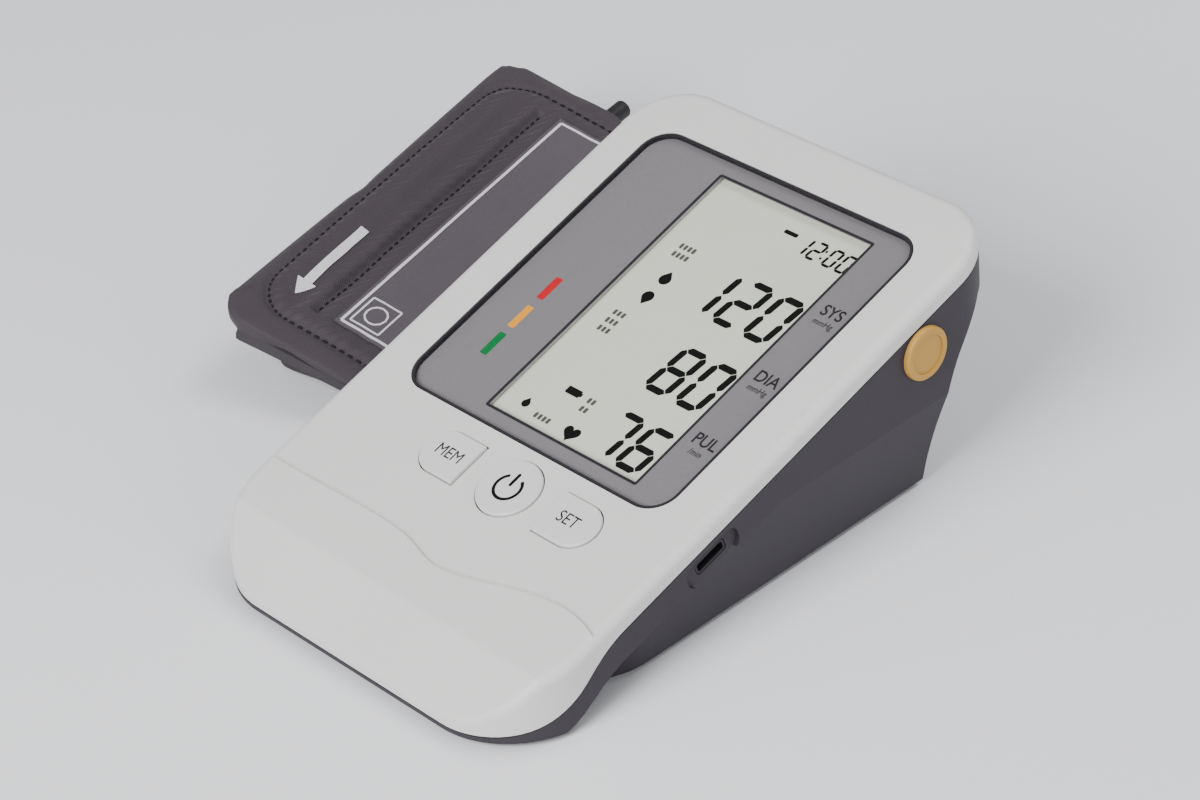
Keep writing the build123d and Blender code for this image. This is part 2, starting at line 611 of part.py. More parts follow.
with BuildPart() as cuff_bladder:
    with BuildSketch(cuff_plane(1 / 2).offset(-BLADDER_THICK / 2)):
        RectangleRounded(BLADDER_WIDTH, BLADDER_LENGTH, 3.6)
    extrude(amount=BLADDER_THICK)
save(cuff_bladder, "cuff_bladder")

with BuildPart() as cuff_top_layer:
    add(cuff_block(0))
    split(bisect_by=cuff_plane(2 / 3), keep=Keep.TOP)
    split(bisect_by=cuff_plane(1), keep=Keep.BOTTOM)
save(cuff_top_layer, "cuff_top_layer")

with BuildPart() as cuff_label_patch:
    with BuildSketch(cuff_plane(1, PATCH_LEFT, CUFF_LENGTH / 2).offset(0.05)):
        RectangleRounded(PATCH_WIDTH, CUFF_LENGTH - 28, 2)
    extrude(amount=PATCH_THICK)
save(cuff_label_patch, "cuff_label_patch")

with BuildPart() as cuff_nipple:
    with BuildSketch(Plane(origin=cuff_point(CUFF_PANEL / 2, CUFF_LENGTH + 0.05, 0.52), x_dir=LEFT * -1,
                           z_dir=BACK)):
        Circle(3.6)
    extrude(amount=1.4)
    with BuildSketch(Plane(origin=cuff_point(CUFF_PANEL / 2, CUFF_LENGTH + 1.4, 0.52), x_dir=LEFT * -1,
                           z_dir=BACK)):
        Circle(2.4)
    extrude(amount=NIPPLE_LENGTH)
save(cuff_nipple, "cuff_nipple")
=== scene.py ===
# %% [markdown]
# # An upper arm blood pressure monitor and its folded cuff
# The engineering model gives every hard piece its exact place. This lesson dresses that model: it gives
# moulded plastic its fine texture, prints the window and the keys, draws the liquid crystal digits and
# turns the plain cuff solids into puckered, stitched cloth. All lengths are metres.

# %% Load the frame
import bpy
import bmesh
import json
import math
from mathutils import Matrix, Vector, noise
from mathutils.bvhtree import BVHTree

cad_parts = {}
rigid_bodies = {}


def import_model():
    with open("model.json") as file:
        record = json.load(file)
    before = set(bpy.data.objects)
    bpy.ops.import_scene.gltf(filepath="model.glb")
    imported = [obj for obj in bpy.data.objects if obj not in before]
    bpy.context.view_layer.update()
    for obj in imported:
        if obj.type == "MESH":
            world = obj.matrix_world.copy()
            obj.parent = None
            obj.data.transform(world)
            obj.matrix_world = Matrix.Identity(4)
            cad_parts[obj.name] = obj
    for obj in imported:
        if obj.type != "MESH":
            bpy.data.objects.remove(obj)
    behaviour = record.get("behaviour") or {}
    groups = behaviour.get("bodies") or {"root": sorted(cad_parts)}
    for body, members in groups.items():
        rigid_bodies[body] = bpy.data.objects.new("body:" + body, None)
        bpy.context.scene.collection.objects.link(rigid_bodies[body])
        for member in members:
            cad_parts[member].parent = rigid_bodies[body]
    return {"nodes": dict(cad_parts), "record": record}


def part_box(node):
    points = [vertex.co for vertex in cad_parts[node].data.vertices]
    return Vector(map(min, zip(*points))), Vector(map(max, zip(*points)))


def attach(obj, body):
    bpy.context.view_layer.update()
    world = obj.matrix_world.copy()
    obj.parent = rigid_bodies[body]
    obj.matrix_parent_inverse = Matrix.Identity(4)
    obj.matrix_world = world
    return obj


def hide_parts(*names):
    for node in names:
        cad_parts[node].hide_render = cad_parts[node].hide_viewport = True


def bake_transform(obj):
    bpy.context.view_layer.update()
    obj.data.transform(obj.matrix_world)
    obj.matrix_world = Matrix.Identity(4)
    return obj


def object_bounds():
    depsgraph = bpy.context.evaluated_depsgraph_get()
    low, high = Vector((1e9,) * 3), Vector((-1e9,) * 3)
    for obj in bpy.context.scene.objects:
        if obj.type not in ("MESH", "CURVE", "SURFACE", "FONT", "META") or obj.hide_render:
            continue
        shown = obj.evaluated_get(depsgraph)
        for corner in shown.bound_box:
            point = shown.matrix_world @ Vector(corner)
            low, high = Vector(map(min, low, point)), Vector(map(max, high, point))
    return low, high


for leftover in list(bpy.data.objects):
    bpy.data.objects.remove(leftover)
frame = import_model()
cad_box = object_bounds()
MM = 0.001
print("nodes:", len(frame["nodes"]))

# %% [markdown]
# The display face slopes. Rather than measuring that slope, we read it from the power key: a key is pushed
# straight into the face, so its joint's axis is the face's normal, turned round. The window's printed film
# is a flat slab, so the middle of its box is a point that we know on the face.

# %% Coordinates on the sloping face
joints = {joint["name"]: joint for joint in frame["record"]["behaviour"]["joints"]}
face_normal = -Vector(joints["power_key_press"]["axis"]).normalized()
face_across = Vector((1, 0, 0))
face_up = face_normal.cross(face_across)
mask_low, mask_high = (Vector(corner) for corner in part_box("display_mask"))
MASK_DEPTH = 1.4 * MM        # middle of the film below the face
WINDOW_MIDDLE = 27.55        # millimetres up the face from its foot
face_point = (mask_low + mask_high) / 2 + face_normal * MASK_DEPTH


def on_face(x, up, lift=0.0):
    """World point x millimetres across and up millimetres up the face, lifted along its normal."""
    across = face_across * (x * MM - face_point.x)
    return face_point + across + face_up * ((up - WINDOW_MIDDLE) * MM) + face_normal * (lift * MM)


print("face slope:", round(math.degrees(math.asin(face_up.z)), 2), "degrees")

# %% [markdown]
# ## Shader maths as Python
# A material is a small program. To keep it readable, a socket is wrapped in a class whose operators add
# Math nodes, and one method makes any other node from its type, its settings and its inputs.

# %% A socket that can be added and multiplied
class Wire:
    """One output socket. Arithmetic on it adds Math nodes to its material."""

    def __init__(self, finish, socket):
        self.finish, self.socket = finish, socket

    def maths(self, operation, first, second=0.0):
        return self.finish.node("ShaderNodeMath", {"operation": operation}, {0: first, 1: second})

    def __add__(self, other): return self.maths("ADD", self, other)
    def __radd__(self, other): return self.maths("ADD", other, self)
    def __sub__(self, other): return self.maths("SUBTRACT", self, other)
    def __rsub__(self, other): return self.maths("SUBTRACT", other, self)
    def __mul__(self, other): return self.maths("MULTIPLY", self, other)
    def __rmul__(self, other): return self.maths("MULTIPLY", other, self)
    def sine(self): return self.maths("SINE", self)
    def above(self, level): return self.maths("GREATER_THAN", self, level)


# %% One material, one method for its nodes
class Finish:
    """A material under construction."""

    def __init__(self, name):
        self.material = bpy.data.materials.new(name)
        self.material.use_nodes = True
        self.tree = self.material.node_tree
        self.shader = self.tree.nodes["Principled BSDF"]

    def node(self, kind, settings=None, inputs=None, output=0):
        """Adds a node, applies its settings first and then its inputs, and returns one output."""
        new = self.tree.nodes.new(kind)
        for key, value in (settings or {}).items():
            if key == "stops":
                for element, (place, colour) in zip(new.color_ramp.elements, value):
                    element.position, element.color = place, (*colour, 1)
            else:
                setattr(new, key, value)
        for key, value in (inputs or {}).items():
            self.plug(new.inputs[key], value)
        return Wire(self, new.outputs[output])

    def plug(self, socket, value):
        if isinstance(value, Wire):
            self.tree.links.new(value.socket, socket)
        else:
            socket.default_value = value

    def set(self, **values):
        """Sets the main shader's sockets: Base_Color stands for Base Color."""
        for key, value in values.items():
            self.plug(self.shader.inputs[key.replace("_", " ")], value)
        return self

    def place(self):
        return self.node("ShaderNodeTexCoord", output=3)

    def noise(self, scale, detail=2.0, roughness=0.5):
        return self.node("ShaderNodeTexNoise", inputs={"Vector": self.place(), "Scale": scale,
                                                       "Detail": detail, "Roughness": roughness})

    def mix(self, factor, first, second):
        return self.node("ShaderNodeMix", {"data_type": "RGBA"}, {0: factor, 6: first, 7: second}, output=2)

    def bump(self, height, strength, distance):
        return self.node("ShaderNodeBump", inputs={"Height": height, "Strength": strength,
                                                   "Distance": distance})


def rgb(red, green, blue):
    """Screen colour, 0 to 255, as the linear colour that a shader wants."""
    def linear(value):
        value /= 255
        return value / 12.92 if value <= 0.04045 else ((value + 0.055) / 1.055) ** 2.4
    return (linear(red), linear(green), linear(blue), 1)


# %% [markdown]
# ## Moulded plastic
# The casings come from a spark-eroded mould, which leaves a very fine, even grain. Two sizes of noise make
# it: a fine one for the grain in the bump, and a broad, faint one that keeps the colour and the gloss from
# being the same everywhere.

# %% Plastic finishes
def moulded(name, colour, shade, rough, grain=0.16, grain_size=2600, gloss=0.5):
    """Fine-grained plastic whose colour drifts a little towards shade."""
    finish = Finish(name)
    broad = finish.noise(28, 3)
    fine = finish.noise(grain_size, 2, 0.6)
    finish.set(Base_Color=finish.mix(broad * 0.5 + fine * 0.18, colour, shade),
               Roughness=broad * 0.10 + fine * 0.08 + (rough - 0.09), Specular_IOR_Level=gloss,
               Normal=finish.bump(fine, grain, 0.0002))
    return finish.material


light_casing = moulded("light_casing", rgb(214, 213, 211), rgb(198, 197, 195), 0.46)
dark_casing = moulded("dark_casing", rgb(60, 56, 62), rgb(50, 47, 53), 0.55, gloss=0.2)
key_plastic = moulded("key_plastic", rgb(212, 211, 209), rgb(200, 199, 198), 0.42, 0.1)
holder_plastic = moulded("holder_plastic", rgb(205, 205, 200), rgb(185, 185, 180), 0.5)
black_plastic = moulded("black_plastic", rgb(40, 38, 42), rgb(30, 28, 32), 0.45, gloss=0.3)
foot_rubber = moulded("foot_rubber", rgb(44, 43, 45), rgb(34, 33, 35), 0.8, 0.3, 1500)
bladder_rubber = moulded("bladder_rubber", rgb(72, 69, 73), rgb(60, 58, 61), 0.7, gloss=0.3)
silicone = moulded("silicone", rgb(190, 190, 188), rgb(170, 170, 168), 0.6)
amber_plastic = moulded("amber_plastic", rgb(190, 146, 66), rgb(174, 130, 54), 0.45, 0.08, gloss=0.3)
print("plastics made:", len(bpy.data.materials))

# %% [markdown]
# ## Window, display and print
# The window is clear acrylic over a printed grey film. The film and the display carry the gloss, as a clear
# coat, because the thin lens itself is nearly invisible. Prints are thin plates of ink with a slightly
# uneven tone.

# %% Window finishes
def inked(name, colour, shade, rough=0.4, coat=0.0, size=900):
    """Printed film or ink, a little uneven, with an optional gloss over it."""
    finish = Finish(name)
    tone = finish.noise(size, 2)
    finish.set(Base_Color=finish.mix(tone, colour, shade), Roughness=tone * 0.08 + rough,
               Specular_IOR_Level=0.12, Coat_Weight=coat, Coat_Roughness=0.2)
    return finish.material


def clear_lens():
    """Thin clear acrylic: mostly transparent, with a faint cast and a sharp gloss."""
    finish = Finish("clear_lens")
    haze = finish.noise(60, 2)
    finish.set(Base_Color=rgb(40, 42, 42), Roughness=haze * 0.05 + 0.2, Alpha=haze * 0.01 + 0.02)
    return finish.material


def liquid_crystal():
    """Greenish grey display glass, a little uneven, with a barely visible haze."""
    finish = Finish("liquid_crystal")
    drift = finish.noise(14, 1)
    fine = finish.noise(3000, 1)
    finish.set(Base_Color=finish.mix(drift * 0.7 + fine * 0.2, rgb(212, 216, 200), rgb(198, 202, 187)),
               Roughness=fine * 0.1 + 0.4, Specular_IOR_Level=0.3, Coat_Weight=0.1,
               Coat_Roughness=0.2)
    return finish.material


window_film = inked("window_film", rgb(122, 119, 122), rgb(115, 112, 115), 0.45, 0.08)
window_line = inked("window_line", rgb(46, 44, 48), rgb(38, 36, 40), 0.45, 0.1)
digit_ink = inked("digit_ink", rgb(6, 7, 6), rgb(12, 13, 12), 0.6)
faint_ink = inked("faint_ink", rgb(70, 72, 67), rgb(82, 84, 78), 0.5, 0.1)
dark_ink = inked("dark_ink", rgb(34, 32, 36), rgb(44, 42, 46), 0.55)
green_ink = inked("green_ink", rgb(6, 104, 52), rgb(12, 116, 60), 0.45, 0.1)
amber_ink = inked("amber_ink", rgb(232, 156, 44), rgb(222, 146, 36), 0.45, 0.1)
red_ink = inked("red_ink", rgb(196, 26, 38), rgb(184, 20, 32), 0.45, 0.1)
white_ink = inked("white_ink", rgb(216, 213, 216), rgb(196, 192, 198), 0.6)
lens_finish, lcd_finish = clear_lens(), liquid_crystal()


# %% [markdown]
# ## Metal, board and battery finishes
# These pieces are inside or underneath, but they are seen when the battery door is open.

# %% Inner finishes
def plated_metal():
    """Nickel plate with faint drawn lines."""
    finish = Finish("plated_metal")
    streak = finish.noise(700, 3)
    finish.set(Base_Color=finish.mix(streak, rgb(198, 198, 200), rgb(170, 170, 174)), Metallic=1.0,
               Roughness=streak * 0.2 + 0.22, Normal=finish.bump(streak, 0.1, 0.0001))
    return finish.material


def solder_mask():
    """Green circuit board with slightly darker patches."""
    finish = Finish("solder_mask")
    patch = finish.noise(240, 1).above(0.55)
    finish.set(Base_Color=finish.mix(patch * 0.6, rgb(26, 96, 54), rgb(18, 70, 40)), Roughness=0.3)
    return finish.material


metal = plated_metal()
board = solder_mask()
sleeve = inked("cell_sleeve", rgb(58, 64, 74), rgb(48, 52, 62), 0.3, 0.4)


# %% [markdown]
# ## Woven nylon
# The cuff is fine woven nylon. Two crossed sine waves make threads that go over and under each other; at
# arm's length they read as a fine, slightly shiny weave. A broad noise gives the cloth the cloudy look of
# worn nylon.

# %% Nylon finish
def woven(name, colour, shade, thread=0.00062, rough=0.62):
    """Plain weave with the given thread spacing."""
    finish = Finish(name)
    place = finish.place()
    turned = finish.node("ShaderNodeMapping", {}, {"Vector": place, "Rotation": (0, 0, math.radians(-12))})
    split = finish.node("ShaderNodeSeparateXYZ", inputs={0: turned})
    along = Wire(finish, split.socket.node.outputs[0])
    over = Wire(finish, split.socket.node.outputs[1])
    pitch = 2 * math.pi / thread
    weave = (along * pitch).sine() * (over * pitch).sine() * 0.5 + 0.5
    cloud = finish.noise(70, 4, 0.6)
    finish.set(Base_Color=finish.mix(weave * 0.35 + cloud * 0.6, colour, shade),
               Roughness=weave * 0.12 + (rough - 0.06),
               Specular_IOR_Level=0.3, Sheen_Weight=0.1, Sheen_Roughness=0.4,
               Normal=finish.bump(weave + cloud * 0.5, 0.35, 0.0003))
    return finish.material


nylon = woven("nylon", rgb(66, 59, 65), rgb(49, 43, 48))
# A darker copy of the same nylon: painted shade for the lower layers and the fold, which lie in shadow under
# the top panel.
nylon_painted_shade = woven("nylon_painted_shade", rgb(58, 52, 58), rgb(44, 40, 45))
patch_nylon = woven("patch_nylon", rgb(84, 77, 84), rgb(74, 67, 74), 0.0004, 0.5)
thread_finish = inked("thread", rgb(40, 36, 41), rgb(30, 27, 31), 0.7)

# %% [markdown]
# Each engineering node now gets the finish of its material.

# %% Dress the engineering nodes
node_finish = {
    "top_casing": light_casing, "bottom_casing": dark_casing, "display_lens": lens_finish,
    "display_mask": window_film, "lcd_glass": lcd_finish, "lcd_reflector": holder_plastic,
    "lcd_holder": holder_plastic, "memory_key": key_plastic, "power_key": key_plastic,
    "set_key": key_plastic, "key_mat": silicone, "main_board": board, "board_chips": black_plastic,
    "pressure_sensor": black_plastic, "buzzer": black_plastic, "pump_motor": metal,
    "pump_head": holder_plastic, "release_valve": metal, "air_manifold": silicone,
    "air_socket": dark_casing, "air_plug": amber_plastic, "power_socket": black_plastic,
    "battery_bay": black_plastic, "battery_cells": sleeve, "battery_springs": metal,
    "battery_plates": metal, "battery_door": dark_casing, "rubber_feet": foot_rubber,
    "casing_screws": metal, "cuff_bladder": bladder_rubber, "cuff_nipple": black_plastic}
for name, material in node_finish.items():
    mesh = frame["nodes"][name].data
    mesh.materials.clear()
    mesh.materials.append(material)
print("dressed:", len(node_finish), "nodes")


# %% [markdown]
# ## Thin plates on the face
# A print is modelled as a very thin plate. One helper takes outlines in face millimetres, makes a closed
# prism of each and rides it on a body, so that a key's symbol goes down with its key.

# %% Plates from outlines
def piece(name, mesh_maker, material, body):
    """Makes an object from a filled bmesh and hangs it on a body, or on none if no body is given."""
    mesh = bpy.data.meshes.new(name)
    mesh_maker.normal_update()
    mesh_maker.to_mesh(mesh)
    mesh_maker.free()
    mesh.materials.append(material)
    made = bpy.data.objects.new(name, mesh)
    bpy.context.scene.collection.objects.link(made)
    if body:
        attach(made, body)
    return made


def add_prism(maker, outline, lift, thick, place=on_face):
    """Adds a closed prism over an outline of (across, up) points."""
    low = [maker.verts.new(place(x, up, lift)) for x, up in outline]
    high = [maker.verts.new(place(x, up, lift + thick)) for x, up in outline]
    maker.faces.new(high)
    maker.faces.new(list(reversed(low)))
    for i in range(len(outline)):
        j = (i + 1) % len(outline)
        maker.faces.new((low[i], low[j], high[j], high[i]))


def plates(name, outlines, lift, material, body="desk_unit", thick=0.04):
    """One piece made of several thin plates."""
    maker = bmesh.new()
    for outline in outlines:
        area = sum(a[0] * b[1] - b[0] * a[1] for a, b in zip(outline, outline[1:] + outline[:1]))
        add_prism(maker, outline if area > 0 else outline[::-1], lift, thick)
    return piece(name, maker, material, body)


def rounded(left, right, low, high, corner, steps=8):
    """Rounded rectangle as a list of points, anticlockwise."""
    points = []
    corners = ((right - corner, low + corner, -90), (right - corner, high - corner, 0),
               (left + corner, high - corner, 90), (left + corner, low + corner, 180))
    for x, up, start in corners:
        for i in range(steps + 1):
            angle = math.radians(start + 90 * i / steps)
            points.append((x + corner * math.cos(angle), up + corner * math.sin(angle)))
    return points


def ring_plate(name, outer, inner, lift, material, body="desk_unit", thick=0.04):
    """Thin closed ring between two outlines with the same number of points."""
    maker = bmesh.new()
    loops = []
    for outline, height in ((outer, lift), (outer, lift + thick), (inner, lift + thick), (inner, lift)):
        loops.append([maker.verts.new(on_face(x, up, height)) for x, up in outline])
    count = len(outer)
    for first, second in zip(loops, loops[1:] + loops[:1]):
        for i in range(count):
            j = (i + 1) % count
            maker.faces.new((first[i], first[j], second[j], second[i]))
    return piece(name, maker, material, body)


# %% [markdown]
# ## The window's print
# A dark line runs round the window's edge, through the lens, and three short bars on the left, green, amber
# and red, show how high a reading is. They lie on the film, under the lens. The lens is remade as a thinner
# plate, because the engineering lens touches the film, and two surfaces in one place can show as patches.

# %% Window line and level bars
FILM_TOP = -1.24     # just above the printed film
LENS_TOP = -0.045    # on the lens, which lies just under the face
window = (-41.3, 41.3, -16.6, 71.7)
WINDOW_CORNER, LINE_WIDTH = 7.0, 0.65
LENS_LOW, LENS_THICK = -0.8, 0.7


def window_outline(inset):
    """The window's rounded outline, drawn in by inset."""
    left, right, low, high = window
    return rounded(left + inset, right - inset, low + inset, high - inset, WINDOW_CORNER - inset)


line_outer, line_inner = window_outline(0.05), window_outline(LINE_WIDTH)
ring_plate("window_line", line_outer, line_inner, FILM_TOP, window_line, thick=LENS_TOP - FILM_TOP)
lens = plates("window_lens", [window_outline(LINE_WIDTH + 0.02)], LENS_LOW, lens_finish,
              thick=LENS_THICK)
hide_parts("display_lens")
lcd_edge = (-17.3, 29.1, -11.2, 66.6)
edge_outer = rounded(lcd_edge[0] - 0.7, lcd_edge[1] + 0.7, lcd_edge[2] - 0.7, lcd_edge[3] + 0.7, 0.6, 3)
edge_inner = rounded(*lcd_edge, 0.05, 3)
ring_plate("display_edge", edge_outer, edge_inner, FILM_TOP, window_line)


def bar(low, high, middle=-29.7, width=2.1):
    """A short bar with rounded corners. It stands upright, though the three level bars lean a little."""
    return rounded(middle - width / 2, middle + width / 2, low, high, 0.35, 3)


for name, ink, low in (("bar_green", green_ink, -1.2), ("bar_amber", amber_ink, 7.9),
                       ("bar_red", red_ink, 17.6)):
    plates(name, [bar(low, low + 7.0)], FILM_TOP, ink)

# %% [markdown]
# ## Lettering
# The labels are generic: what each number means and what each key does. Text is set in the built-in font,
# turned into a mesh and laid on the face.

# %% Words on the face
LETTER_SQUEEZE = 0.9     # letters a little narrower than the font's own


def words(name, text, x, up, height, lift, material, body="desk_unit", bold=0.0):
    """Lays a centred word on the face; x and up are its middle."""
    curve = bpy.data.curves.new(name + "_curve", "FONT")
    curve.body, curve.size = text, height * 1.35
    curve.align_x, curve.align_y = "CENTER", "CENTER"
    curve.extrude, curve.offset = 0.02, height * bold
    holder = bpy.data.objects.new(name + "_curve", curve)
    bpy.context.scene.collection.objects.link(holder)
    mesh = bpy.data.meshes.new_from_object(holder.evaluated_get(bpy.context.evaluated_depsgraph_get()))
    bpy.data.objects.remove(holder)
    for vertex in mesh.vertices:
        flat = vertex.co.copy()
        vertex.co = on_face(x + flat.x * LETTER_SQUEEZE, up + flat.y, lift + flat.z)
    mesh.materials.clear()
    mesh.materials.append(material)
    made = bpy.data.objects.new(name, mesh)
    bpy.context.scene.collection.objects.link(made)
    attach(made, body)
    return made


for text, unit, up in (("SYS", "mmHg", 46.6), ("DIA", "mmHg", 24.9), ("PUL", "/min", 4.8)):
    words("label_" + text, text, 35.3, up, 3.3, FILM_TOP + 0.03, dark_ink, bold=0.015)
    words("unit_" + text, unit, 35.3, up - 3.4, 1.7, FILM_TOP + 0.03, dark_ink)
KEY_TOP = 0.71
words("word_MEM", "MEM", -13.0, -27.3, 3.2, KEY_TOP, dark_ink, "memory_key")
words("word_SET", "SET", 24.9, -27.3, 3.2, KEY_TOP, dark_ink, "set_key")


# %% [markdown]
# ## Power symbol
# A ring that is open at the top with a short stroke in the gap: an arc of small plates would show joints,
# so the open ring is one outline, out along the outer arc and back along the inner one.

# %% Power symbol
def open_ring(x, up, radius, width, gap_degrees):
    """Outline of a ring with a gap at its top."""
    points = []
    for reach, order in ((radius + width / 2, range(41)), (radius - width / 2, reversed(range(41)))):
        for i in order:
            angle = math.radians(90 + gap_degrees / 2 + (360 - gap_degrees) * i / 40)
            points.append((x + reach * math.cos(angle), up + reach * math.sin(angle)))
    return points


KEY_MIDDLE, KEY_ROW = 6.2, -27.3
plates("power_symbol", [open_ring(KEY_MIDDLE, KEY_ROW - 0.2, 3.3, 0.75, 70),
                        rounded(KEY_MIDDLE - 0.4, KEY_MIDDLE + 0.4, KEY_ROW + 0.2, KEY_ROW + 4.0, 0.35, 3)],
       KEY_TOP, digit_ink, "power_key")


# %% [markdown]
# ## Liquid crystal digits
# Each digit is seven bars with mitred ends. A table says which bars are dark for each figure. The digits
# lean to the right by a few degrees, as on most such displays.

# %% Seven bars for a digit
SEGMENTS = {"0": "abcdef", "1": "bc", "2": "abged", "3": "abgcd", "4": "fgbc", "5": "afgcd",
            "6": "afgedc", "7": "abc", "8": "abcdefg", "9": "abcdfg"}
LEAN = math.tan(math.radians(6))


def digit(figure, left, low, wide, tall, stroke):
    """Outlines of a figure's dark bars."""
    half, gap = stroke / 2, stroke * 0.09
    right, high, middle = left + wide, low + tall, low + tall / 2

    def flat(up):
        a, b = left + half + gap, right - half - gap
        return [(a, up), (a + half, up - half), (b - half, up - half), (b, up), (b - half, up + half),
                (a + half, up + half)]

    def upright(x, down, top):
        a, b = down + gap, top - gap
        return [(x, a), (x + half, a + half), (x + half, b - half), (x, b), (x - half, b - half),
                (x - half, a + half)]

    mid_left, mid_right = left + half, right - half
    bars = {"a": flat(high - half), "g": flat(middle), "d": flat(low + half),
            "b": upright(mid_right, middle, high - half), "c": upright(mid_right, low + half, middle),
            "f": upright(mid_left, middle, high - half), "e": upright(mid_left, low + half, middle)}
    return [[(x + (up - low) * LEAN, up) for x, up in bars[key]] for key in SEGMENTS[figure]]


def number(text, left, low, wide, tall, stroke, pitch):
    """Outlines of several figures in a row."""
    outlines = []
    for place, figure in enumerate(text):
        outlines += digit(figure, left + place * pitch, low, wide, tall, stroke)
    return outlines


# %% [markdown]
# The three readings, the clock and a few small signs make the display look as it does in use.

# %% Readings and clock
LCD_TOP = -2.53      # just above the display glass
reading = number("120", 0.0, 32.5, 7.6, 14.2, 1.75, 9.4)
reading += number("80", 9.4, 10.3, 7.6, 14.2, 1.75, 9.4)
reading += number("76", 9.8, -9.5, 7.6, 13.2, 1.7, 9.2)
plates("readings", reading, LCD_TOP, digit_ink)
clock = number("12", 12.4, 57.2, 3.1, 5.6, 0.7, 3.9) + number("00", 21.2, 57.2, 3.1, 5.6, 0.7, 3.9)
clock += [rounded(20.0, 20.6, up, up + 0.7, 0.25, 2) for up in (58.4, 60.6)]
plates("clock", clock, LCD_TOP, digit_ink)


# %% Small signs on the display
def heart(x, up, size, steps=28):
    """Heart outline from the usual sine formula."""
    points = []
    for i in range(steps):
        t = 2 * math.pi * i / steps
        across = 16 * math.sin(t) ** 3
        height = 13 * math.cos(t) - 5 * math.cos(2 * t) - 2 * math.cos(3 * t) - math.cos(4 * t)
        points.append((x + across * size / 32, up + height * size / 32))
    return points


def drop(x, up, size, turn=1):
    """Pointed sign: turn 1 points up and -1 points down."""
    points = [(x, up + turn * size * 0.62)]
    for i in range(9):
        angle = math.radians(20 - 220 * i / 8)
        points.append((x + size * 0.42 * math.cos(angle), up + turn * (size * 0.42 * math.sin(angle) - 0.1)))
    return points


signs = [heart(5.0, -7.6, 4.6), drop(-8.0, 37.0, 3.8), drop(-8.0, 31.0, 3.8, -1), drop(-10.8, -6.2, 2.6)]
signs += [rounded(-5.2, -1.0, 0.6, 2.6, 0.2, 2), rounded(-1.0, -0.5, 1.1, 2.1, 0.1, 2),
          rounded(7.0, 11.0, 60.9, 62.0, 0.3, 2)]
plates("display_signs", signs, LCD_TOP, digit_ink)
faint = []
for left, low, rows, width in ((-12.2, 43.2, 2, 5.4), (-12.0, 18.0, 3, 4.6), (1.6, -1.9, 2, 3.8),
                               (-6.6, -8.4, 1, 5.2)):
    for row in range(rows):
        for i in range(int(width / 1.3)):
            x = left + 1.3 * i
            faint.append(rounded(x, x + 0.85, low + 2.6 * row, low + 2.6 * row + 1.5, 0.2, 2))
plates("display_marks", faint, LCD_TOP, faint_ink)
print("display signs:", len(signs) + len(faint))

# %% [markdown]
# ## The cuff
# The cuff is folded to three padded layers. A block would look dead, so each layer starts as a copy of its
# engineering solid, is remeshed evenly and is inflated as cloth for a few frames. The inflation rounds its
# edges and gives it the slack that sewn nylon has. How far a point may move is capped, so the layer
# stays in its own space.

# %% Cuff coordinates
cuff_axis = Vector(joints["cuff_flap_fold"]["axis"]).normalized()
cuff_corner = Vector(joints["cuff_flap_fold"]["pos_m"])
CUFF_TURN = math.atan2(cuff_axis.y, cuff_axis.x)
cuff_left = Vector((-math.cos(CUFF_TURN), -math.sin(CUFF_TURN), 0))
cuff_back = Vector((-math.sin(CUFF_TURN), math.cos(CUFF_TURN), 0))
CUFF_WIDE, CUFF_LONG = 54.0, 122.0


def cuff_place(point):
    """Millimetres to the left and away from the cuff's near right corner."""
    offset = point - cuff_corner
    return offset.dot(cuff_left) / MM, offset.dot(cuff_back) / MM


cuff_up = cuff_axis.cross(cuff_back).normalized()
print("cuff turned by", round(math.degrees(CUFF_TURN), 1), "degrees")


# %% Inflate a layer as cloth
VOXEL = 0.0019               # remeshing grid, fine enough for the thinnest fold
CLOTH_FRAMES = 16            # long enough for the cloth to fill out
CLOTH_STIFFNESS = 25


def move_points(made, rule):
    """Moves every point by a rule of its place and normal, both read before anything moves."""
    before = [(vertex.co.copy(), vertex.normal.copy()) for vertex in made.data.vertices]
    after = [value for place, normal in before for value in rule(place, normal)]
    made.data.vertices.foreach_set("co", after)
    made.data.update()


def keep_outer_shell(mesh):
    """Removes the pocket inside a layer, which a voxel grid would tear open where the cloth is thin."""
    maker = bmesh.new()
    maker.from_mesh(mesh)
    bmesh.ops.remove_doubles(maker, verts=maker.verts, dist=1e-6)
    first = min(maker.verts, key=lambda vert: vert.co.x)
    kept, waiting = {first}, [first]
    while waiting:
        vert = waiting.pop()
        for edge in vert.link_edges:
            other = edge.other_vert(vert)
            if other not in kept:
                kept.add(other)
                waiting.append(other)
    bmesh.ops.delete(maker, geom=[vert for vert in maker.verts if vert not in kept], context="VERTS")
    maker.to_mesh(mesh)
    maker.free()


def copy_layer(node, name, shrink):
    """Even mesh of a cuff layer, drawn in a little so that it has room to swell.

    The layer is laid level and square to the grid while it is remeshed, so that its edges come out straight.
    """
    source = frame["nodes"][node]
    mesh = source.data.copy()
    mesh.materials.clear()
    made = bpy.data.objects.new(name, mesh)
    bpy.context.scene.collection.objects.link(made)
    mesh.transform(source.matrix_world)
    keep_outer_shell(mesh)
    top_face = max((face for face in mesh.polygons if face.normal.z > 0.5), key=lambda face: face.area)
    upright = top_face.normal.rotation_difference(Vector((0, 0, 1))).to_matrix().to_4x4()
    level = Matrix.Rotation(-CUFF_TURN, 4, "Z") @ upright
    mesh.transform(level)
    remesh = made.modifiers.new("even", "REMESH")
    remesh.mode, remesh.voxel_size = "VOXEL", VOXEL
    apply_modifiers(made)
    made.data.transform(level.inverted())
    move_points(made, lambda place, normal: place - normal * shrink)
    return made


def apply_modifiers(made):
    """Replaces a mesh by the result of its modifiers."""
    graph = bpy.context.evaluated_depsgraph_get()
    graph.update()
    result = bpy.data.meshes.new_from_object(made.evaluated_get(graph))
    made.modifiers.clear()
    made.data = result


